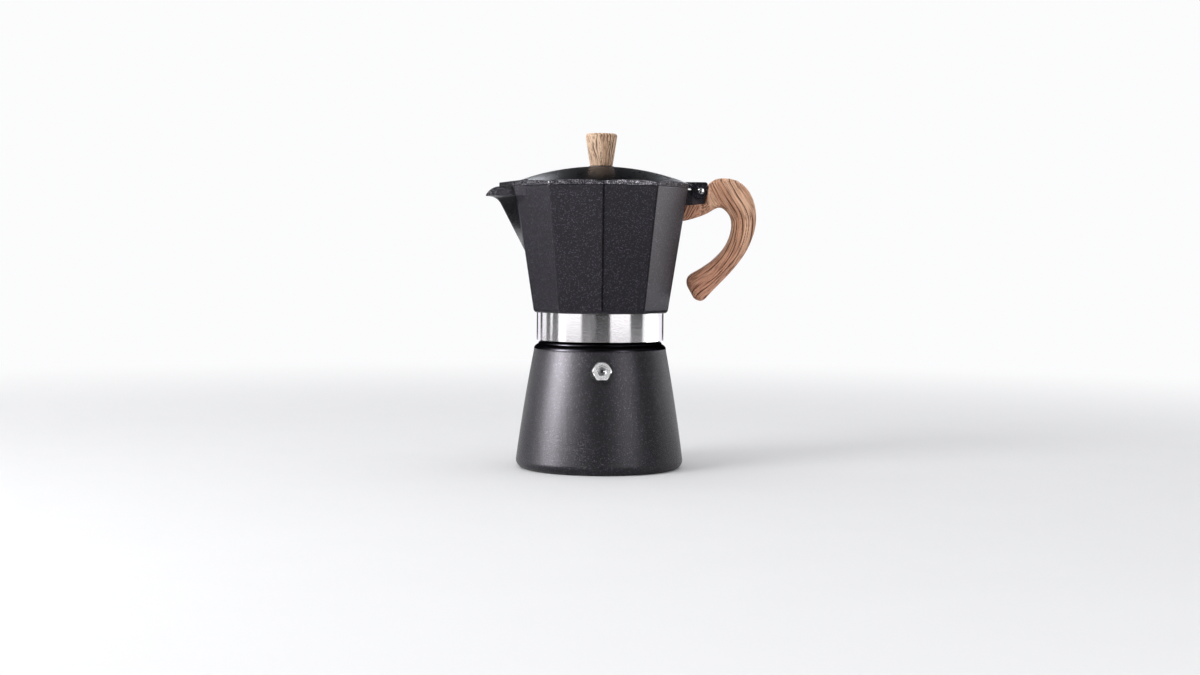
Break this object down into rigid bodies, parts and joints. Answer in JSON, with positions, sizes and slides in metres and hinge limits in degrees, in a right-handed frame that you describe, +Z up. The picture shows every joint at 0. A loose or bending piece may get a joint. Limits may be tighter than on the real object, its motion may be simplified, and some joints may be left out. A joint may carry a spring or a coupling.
{
  "type": "moka pot",
  "caption": "Stove-top moka pot: a round tapered boiler with a safety valve screws into a faceted upper chamber with a spout, a hinged domed lid, a wooden knob and a wooden handle.",
  "frame": {"origin": "centre of the boiler's flat base, on the surface it stands on", "axes": "+Z up, -X towards the spout, +X towards the handle, -Y towards the safety valve"},
  "size_m": [0.1617, 0.107, 0.1998],
  "materials": {
    "boiler_paint": "charcoal paint with fine metal flakes over cast aluminium",
    "chamber_paint": "charcoal flake paint outside, bare casting inside, polished skirt",
    "lid_paint": "glossy charcoal flake paint",
    "valve_metal": "bright plated",
    "valve_steel": "bright turned steel",
    "seal_rubber": "matt",
    "funnel_metal": "satin pressed sheet",
    "gasket_rubber": "white silicone",
    "plate_metal": "satin pressed sheet",
    "pin_metal": "bright",
    "screw_metal": "plain steel",
    "handle_wood": "brushed, open-grained wood, satin",
    "knob_wood": "brushed, open-grained wood, satin",
    "insert_brass": "turned brass"
  },
  "bodies": {
    "boiler": {"boiler": "boiler_paint", "valve_body": "valve_metal", "valve_seal": "seal_rubber", "valve_retainer": "valve_metal", "valve_spring": "valve_steel", "filter_funnel": "funnel_metal", "funnel_sieve": "plate_metal"},
    "plunger": {"valve_piston": "valve_steel"},
    "seal": {"gasket": "gasket_rubber", "filter_plate": "plate_metal"},
    "chamber": {"upper_chamber": "chamber_paint", "hinge_pin": "pin_metal", "handle": "handle_wood", "handle_washer": "screw_metal", "handle_screw": "screw_metal"},
    "lid": {"lid": "lid_paint", "lid_knob": "knob_wood", "knob_insert": "insert_brass", "knob_washer": "screw_metal", "knob_screw": "screw_metal"}
  },
  "joints": [
    {"name": "valve_plunger", "type": "slide", "parent": "boiler", "child": "plunger", "axis": [0, -0.984, 0.1781], "range_m": [0, 0.0012], "stiffness_N_per_m": 1000, "springref_m": -0.002, "deforming": ["valve_spring"]},
    {"name": "chamber_lift", "type": "slide", "parent": "boiler", "child": "seal", "axis": [0, 0, 1], "range_m": [0, 0.006]},
    {"name": "chamber_turn", "type": "hinge", "parent": "seal", "child": "chamber", "pos_m": [0, 0, 0], "axis": [0, 0, 1], "range_deg": [0, 720]},
    {"name": "lid_hinge", "type": "hinge", "parent": "chamber", "child": "lid", "pos_m": [0.0594, 0, 0.166], "axis": [0, 1, 0], "range_deg": [0, 105]}
  ],
  "couplings": [
    {"joint": "chamber_lift", "follows": "chamber_turn", "m_per_rad": 0.00047746}
  ]
}
